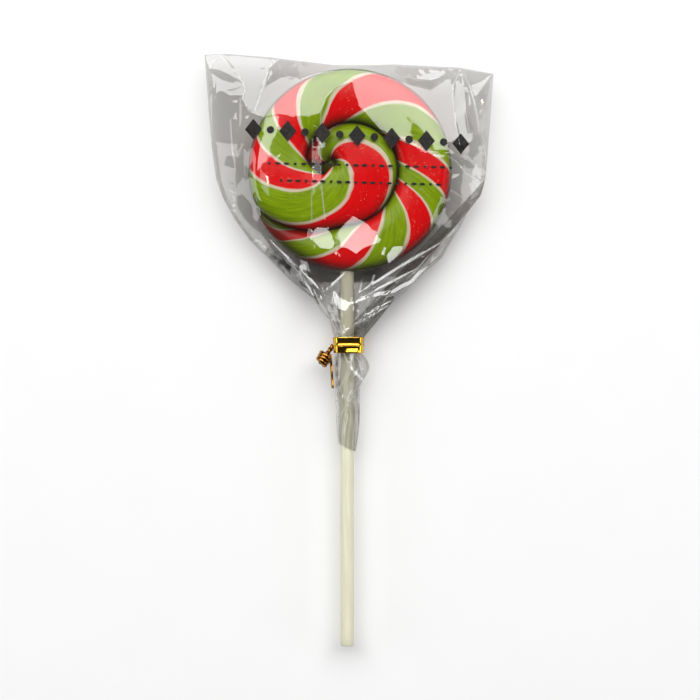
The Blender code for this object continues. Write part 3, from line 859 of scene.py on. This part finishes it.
def cut_sheets(work):
    """The bag's two sheets, joined along the seams and open at the neck."""
    outline = [Vector((NECK_X - NECK_HALF_WIDTH, NECK_SEAM_Y, MIDDLE_Z))]
    outline += [Vector((x * MM, y * MM, MIDDLE_Z)) for x, y in OUTLINE]
    outline.append(Vector((NECK_X + NECK_HALF_WIDTH, NECK_SEAM_Y, MIDDLE_Z)))
    lines = [(line[0] * MM, [spot(*point) for point in line[1:]]) for line in CREASES.values()]
    for wide, *ridge in STREAKS.values():
        lines.append((0.0, [spot(*point) for point in ridge]))
        lines.append((0.0, streak_foot(ridge, wide)))
    lay_sheet(work, outline, neck_arch(1), lines, front_points())
    lay_sheet(work, outline, neck_arch(-1), [], back_points())
    bmesh.ops.remove_doubles(work, verts=work.verts, dist=0.001 * MM)


def longest(edge, folded):
    """How long an edge of the film may stay."""
    first, second = edge.verts
    if (first.co.z + second.co.z) / 2 <= MIDDLE_Z:
        return BACK_STEP
    if first in folded or second in folded:
        return FOLD_STEP
    return GATHER_STEP if (first.co.xy - GATHER_CENTRE).length < GATHER_REACH * 0.8 else SHEET_STEP


def draw_tight(work, inside):
    """Smooths the sheets round what is in the bag and divides them, until their faces are fine enough."""
    for step in range(DRAWING_ROUNDS):
        folded = folded_verts(work)
        front, back = sheets_of(work)
        soft = [vert for vert in front + back if vert not in folded]
        for turn in range(6 if step < 5 else 3):
            bmesh.ops.smooth_vert(work, verts=soft, factor=0.5, use_axis_z=True)
        clear_of(inside, front, 1)
        clear_of(inside, back, -1)
        long = [edge for edge in work.edges if edge.calc_length() > longest(edge, folded)]
        if not long:
            break
        bmesh.ops.subdivide_edges(work, edges=long, cuts=1)
        bmesh.ops.triangulate(work, faces=[face for face in work.faces if len(face.verts) > 3])


def gather(work, inside):
    """Lifts the sheets at their pleats, crumples and pinched creases."""
    pinched = film_values(work)[3]
    folded = folded_verts(work)
    front, back = sheets_of(work)
    crumples = [(spot(x, y).xy, reach * MM, high * MM) for x, y, reach, high in CRUMPLES]
    for side, sheet, share in ((1.0, front, FRONT_PLEATS), (-1.0, back, BACK_PLEATS)):
        for vert in sheet:
            place = vert.co
            away = (place.xy - GATHER_CENTRE).length
            bearing = math.atan2(place.x - GATHER_CENTRE.x, place.y - GATHER_CENTRE.y)
            lift = share * pleat_height(side * bearing, away) if away < GATHER_REACH else 0.0
            for centre, reach, high in crumples if side > 0 else ():
                near = eased(1.2 - (place.xy - centre).length / reach)
                if near > 0:
                    lift += near * high * noise.noise(Vector((place.x * 420, place.y * 420, 7.0)))
            if vert in folded:
                lift += vert[pinched]
            place.z += side * lift
    clear_of(inside, front, 1)
    clear_of(inside, back, -1)


def painted_shade_at(place, painted_shades):
    """How many more layers of painted shade stand in the light's way at a place."""
    return sum(more * eased(1.25 - (place.xy - centre).length / reach) for centre, reach, more in painted_shades)


def shade_sheets(work, painted_shades):
    """Sets how many layers the light passes, painted shade among them, how gathered the film is, and where it
    is painted white: partly whitened film, partly painted highlight.
    """
    layers, gathered, whitened_and_highlight = film_values(work)[:3]
    for vert in work.verts:
        away = (vert.co.xy - GATHER_CENTRE).length
        near = eased(1.0 - (away - 10 * MM) / (52 * MM))
        close = eased(1.0 - (away - 20 * MM) / (36 * MM))
        if vert.co.z > MIDDLE_Z:
            # Painted shade on the front sheet, as extra layers
            vert[layers] = FRONT_LAYERS + painted_shade_at(vert.co, painted_shades)
            vert[gathered] = close
        else:
            # The back sheet dims more towards the neck: partly more gathered film, partly painted shade of
            # the table under the cone
            vert[layers] = BACK_LAYERS + near
            vert[gathered] = close * BACK_GLOSS
    # Creases and streaks painted white: partly whitened film, partly painted highlight
    creased = [(white, FOLD_STEP / 2, traced(CREASES[name][1:])) for name, white in CREASE_HIGHLIGHT.items()]
    creased += [(STREAK_HIGHLIGHT, FOLD_STEP / 2, traced(row[1:])) for row in STREAKS.values()]
    for vert in folded_verts(work):
        if vert.co.z > MIDDLE_Z:
            vert[whitened_and_highlight] = min(CREASE_HIGHLIGHT_LIMIT, fold_lift(vert.co.xy, creased))


def skirt_points(y, folds):
    """One loop of the skirt, at a Y in mm."""
    rows = [(-row[0],) + row[1:] for row in SKIRT]
    left, right, depth = between(rows, -y)
    middle, half = (left + right) / 2 * MM, (right - left) / 2 * MM
    loose = eased((-y - 63.0) / 8.0)
    points = []
    for j in range(SKIRT_SIDES):
        turn = 2 * math.pi * j / SKIRT_SIDES
        wide, deep = math.cos(turn), math.sin(turn)
        wander = noise.noise(Vector((wide * 1.5, deep * 1.5, y * 0.09)))
        fold = abs((SKIRT_PLEATS * turn / (2 * math.pi) + 0.6 * wander) % 1.0 - 0.5) * 2
        small = noise.noise(Vector((wide * 4, deep * 4, y * 0.16)))
        pleat = 1.0 - (0.05 + 0.15 * loose) * fold ** 1.5 - 0.02 * loose * abs(small)
        slant = 1.4 * MM * eased((-y - 85.0) / 13.0) * wide
        point = Vector((middle + half * pleat * wide, y * MM - slant, MIDDLE_Z + depth * MM * pleat * deep))
        if deep > 0:
            point.z += fold_lift(point.xy, folds) * min(1.0, 3 * deep)
        points.append(point)
    return points


def add_skirt(work, painted_shades):
    """The loose end of the bag below the tie, joined to the open neck."""
    layers, gathered, whitened_and_highlight = film_values(work)[:3]
    open_neck = [edge for edge in work.edges if edge.is_boundary]
    folds = [(high * MM, wide * MM, traced(line)) for high, wide, *line in SKIRT_FOLDS]
    # Painted highlights on the skirt's front, as white haze
    marks = [(white, wide * MM, traced(line)) for white, wide, *line in SKIRT_HIGHLIGHTS]
    top, bottom = SKIRT[0][0], SKIRT[-1][0]
    rings = [ring_of(work, skirt_points(top + (bottom - top) * i / (SKIRT_RINGS - 1), folds))
             for i in range(SKIRT_RINGS)]
    for vert in {vert for ring in rings for edge in ring for vert in edge.verts}:
        off = abs(vert.co.x - NECK_X) / (5 * MM)
        puffed = eased(1.25 - (vert.co.xy - spot(*PUFF).xy).length / PUFF_REACH)
        vert[layers] = 2.1 - 1.2 * eased(off * 1.4 - 0.3)
        vert[gathered] = SKIRT_GATHERED + 0.6 * puffed
        if vert.co.z > MIDDLE_Z:
            # Painted shade on the skirt, as extra layers
            vert[layers] += painted_shade_at(vert.co, painted_shades)
            vert[whitened_and_highlight] = min(1.0, fold_lift(vert.co.xy, marks))
    skin(work, [open_neck] + rings)


def unroll(work):
    """Lays the film out round the neck, so that its fine creases run along the gathers."""
    along = work.loops.layers.uv.new("gathers")
    for face in work.faces:
        middle = face.calc_center_median()
        in_skirt = middle.y < NECK_Y - 1.4 * MM
        for loop in face.loops:
            place = loop.vert.co
            if in_skirt:
                turn = math.atan2(place.z - MIDDLE_Z, place.x - NECK_X)
                if middle.x < NECK_X and abs(turn) > 3.1 and middle.z < MIDDLE_Z:
                    turn = -abs(turn)
                across = turn * 0.35
            else:
                across = math.atan2(place.x - GATHER_CENTRE.x, place.y - GATHER_CENTRE.y)
            loop[along].uv = (across, (place.xy - GATHER_CENTRE).length / (20 * MM))


def make_bag(look, inside):
    """The clear bag: two creased sheets over the head, gathered into the neck, and the skirt below it."""
    work = bmesh.new()
    for name in FILM_VALUES:
        work.verts.layers.float.new(name)
    cut_sheets(work)
    draw_tight(work, inside)
    gather(work, inside)
    painted_shades = [(spot(x, y).xy, reach * MM, more) for x, y, reach, more in PAINTED_SHADES]
    shade_sheets(work, painted_shades)
    add_skirt(work, painted_shades)
    unroll(work)
    for edge in work.edges:
        edge.smooth = True
    bag = add_piece("bag_film", work, look)
    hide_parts("bag")
    return bag


# Printed marks


def make_print(look, bag):
    """A plain border of diamonds and dots, and two rows of small dashes, printed on the film."""
    film = surface_of(bag)
    work = bmesh.new()

    def mark(across, down, wide, high, sides, lean=0.0):
        verts = bmesh.ops.create_circle(work, cap_ends=True, segments=sides, radius=0.5)["verts"]
        bmesh.ops.scale(work, vec=(wide * PIXEL, high * PIXEL, 1.0), verts=verts)
        placed = Matrix.Translation(spot(across, down)) @ Matrix.Rotation(lean, 4, "Z")
        bmesh.ops.transform(work, matrix=placed, verts=verts)

    for i in range(BORDER_MARKS):
        share = i / (BORDER_MARKS - 1)
        across, down = BORDER_START[0] + share * BORDER_RUN[0], BORDER_START[1] + share * BORDER_RUN[1]
        if i % 2:
            mark(across, down, DOT_SIZE, DOT_SIZE, 24)
        else:
            mark(across, down, *DIAMOND_SIZE, 4)
    for down, start, end, number in DASH_ROWS:
        for i in range(number):
            share = i / (number - 1)
            across = start + share * (end - start)
            mark(across, down + share * DASH_DROP, 5.6 if i % 3 else 3.0, 2.6, 12, DASH_LEAN)
    for step in range(4):
        bmesh.ops.triangulate(work, faces=[face for face in work.faces if len(face.verts) > 3])
        long = [edge for edge in work.edges if edge.calc_length() > PRINT_STEP]
        bmesh.ops.subdivide_edges(work, edges=long, cuts=1)
    bmesh.ops.triangulate(work, faces=[face for face in work.faces if len(face.verts) > 3])
    for vert in work.verts:
        vert.co.z = surface_at(film, vert.co, 1) + PRINT_GAP
    return add_piece("printed_marks", work, look)


# Twist tie


def tube(name, points, radius, sides, look, flat=1.0):
    """A closed round or flattened tube along points."""
    work = bmesh.new()
    loops = []
    last = len(points) - 1
    side = None
    for i, point in enumerate(points):
        along = (points[min(i + 1, last)] - points[max(i - 1, 0)]).normalized()
        if side is None:
            side = along.orthogonal()
        side = (side - along * side.dot(along)).normalized()
        up = along.cross(side)
        turns = [2 * math.pi * k / sides for k in range(sides)]
        loops.append(ring_of(work, [
            point + (side * math.cos(turn) + up * flat * math.sin(turn)) * radius for turn in turns]))
    skin(work, loops)
    cap(work, loops)
    return add_piece(name, work, look)


def make_tie(look):
    """Two flat wraps round the neck, a twisted stem with a curled end beside them, and a straight tail."""
    work = bmesh.new()
    loops = []
    for y, out, gleam in TIE_PROFILE:
        points = []
        for j in range(TIE_SIDES):
            turn = 2 * math.pi * j / TIE_SIDES
            wide = math.copysign(abs(math.cos(turn)) ** TIE_FLATNESS, math.cos(turn))
            deep = math.copysign(abs(math.sin(turn)) ** TIE_FLATNESS, math.sin(turn))
            x = NECK_X + (TIE_WIDTH + out * MM) * wide
            inside = eased((x - TIE_GLEAM[0]) / TIE_FADE) * eased((TIE_GLEAM[1] - x) / TIE_FADE)
            reach = out * MM + (gleam * MM * inside if deep > 0 else 0.0)
            points.append(Vector((x, y * MM, MIDDLE_Z + (TIE_DEPTH + reach) * deep)))
        loops.append(ring_of(work, points))
    skin(work, loops + loops[:1])
    wraps = add_piece("tie_wraps", work, look)
    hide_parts("twist_tie")
    along = (STEM_TO - STEM_FROM).normalized()
    side = along.cross(UP).normalized()
    up = side.cross(along)
    base = UP * MIDDLE_Z

    def coil(from_share, to_share, turns, start, reach, shrink, steps):
        points = []
        for i in range(steps + 1):
            share = i / steps
            turn = 2 * math.pi * turns * share + start
            middle = STEM_FROM.lerp(STEM_TO, from_share + (to_share - from_share) * share) + base
            round_it = side * math.cos(turn) + up * math.sin(turn)
            points.append(middle + round_it * reach * (1.0 - shrink * share))
        return points

    for strand in range(2):
        points = coil(0.0, 1.0, STEM_TWISTS, math.pi * strand, STRAND_OFFSET, 0.0, 40)
        tube(f"tie_strand_{strand}", points, STRAND_RADIUS, 12, look)
    points = coil(0.56, 0.97, CURL_TURNS, 0.0, CURL_RADIUS, 0.2, 72)
    tube("tie_curl", points, CURL_THICKNESS, 16, look, flat=0.8)
    points = []
    for i in range(TAIL_STEPS + 1):
        bend = UP * 0.25 * MM * math.sin(i * 0.5)
        points.append(TAIL_TOP.lerp(TAIL_BOTTOM, i / TAIL_STEPS) + base + bend)
    tube("tie_tail", points, TAIL_THICKNESS, 12, look, flat=0.6)


# Studio


def add_light(name, place, aim, width, height, power, colour):
    """A soft square light that faces a point."""
    light = bpy.data.lights.new(name, "AREA")
    light.shape = "RECTANGLE"
    light.size, light.size_y = width, height
    light.energy = power
    light.color = colour
    lamp = bpy.data.objects.new(name, light)
    lamp.location = place
    lamp.rotation_euler = (Vector(aim) - Vector(place)).to_track_quat("-Z", "Y").to_euler()
    bpy.context.scene.collection.objects.link(lamp)


def make_studio():
    """The table, the lights, and the camera that looks down on the lollipop."""
    scene = bpy.context.scene
    work = bmesh.new()
    bmesh.ops.create_grid(work, x_segments=4, y_segments=4, size=2.0)
    mesh = bpy.data.meshes.new("table")
    work.to_mesh(mesh)
    work.free()
    mesh.materials.append(table_look())
    table = bpy.data.objects.new("table", mesh)
    scene.collection.objects.link(table)
    for name, settings in LIGHTS.items():
        add_light(name, *settings)
    world = bpy.data.worlds.new("studio")
    world.use_nodes = True
    world.node_tree.nodes["Background"].inputs[0].default_value = (ROOM_LIGHT,) * 3 + (1.0,)
    scene.world = world
    lens = bpy.data.cameras.new("camera")
    lens.sensor_width = SENSOR_WIDTH
    lens.lens = CAMERA_LENS
    lens.clip_start = 0.01
    camera = bpy.data.objects.new("camera", lens)
    camera.location = CAMERA_PLACE
    scene.collection.objects.link(camera)
    scene.camera = camera
    scene.view_settings.view_transform = "Standard"
    scene.view_settings.look = "None"
    scene.cycles.transparent_max_bounces = 32


candy = make_candy(candy_look())
stick = make_stick(paper_look())
bag = make_bag(film_look(), surface_of(candy, stick))
make_print(ink_look(), bag)
make_tie(gold_look())
make_studio()

bpy.context.view_layer.update()
